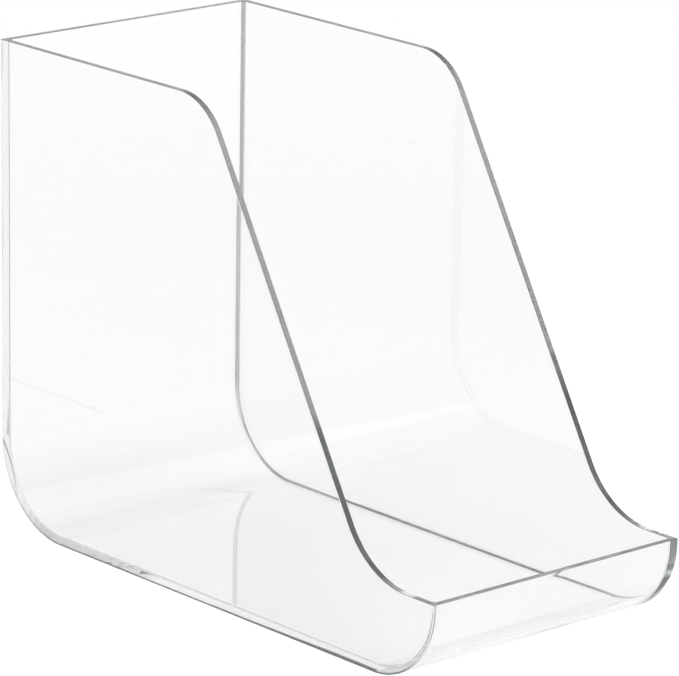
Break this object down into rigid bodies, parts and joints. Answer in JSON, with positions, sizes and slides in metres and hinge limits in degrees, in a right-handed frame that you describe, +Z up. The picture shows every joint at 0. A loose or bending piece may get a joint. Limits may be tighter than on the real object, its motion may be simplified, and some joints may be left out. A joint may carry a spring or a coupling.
{
  "type": "fridge can organizer",
  "caption": "Clear one-piece fridge bin with a tall back, straight sloping sides and a low open front lip, for food or drink cans laid across it.",
  "frame": {"origin": "middle of the bin's footprint, on the surface it stands on", "axes": "+X across the width, +Y towards the tall back, +Z up; the open front faces -Y"},
  "size_m": [0.133, 0.275, 0.212],
  "materials": {
    "clear_plastic": "clear, glossy injection moulding"
  },
  "bodies": {
    "root": {"bin": "clear_plastic"}
  },
  "joints": []
}
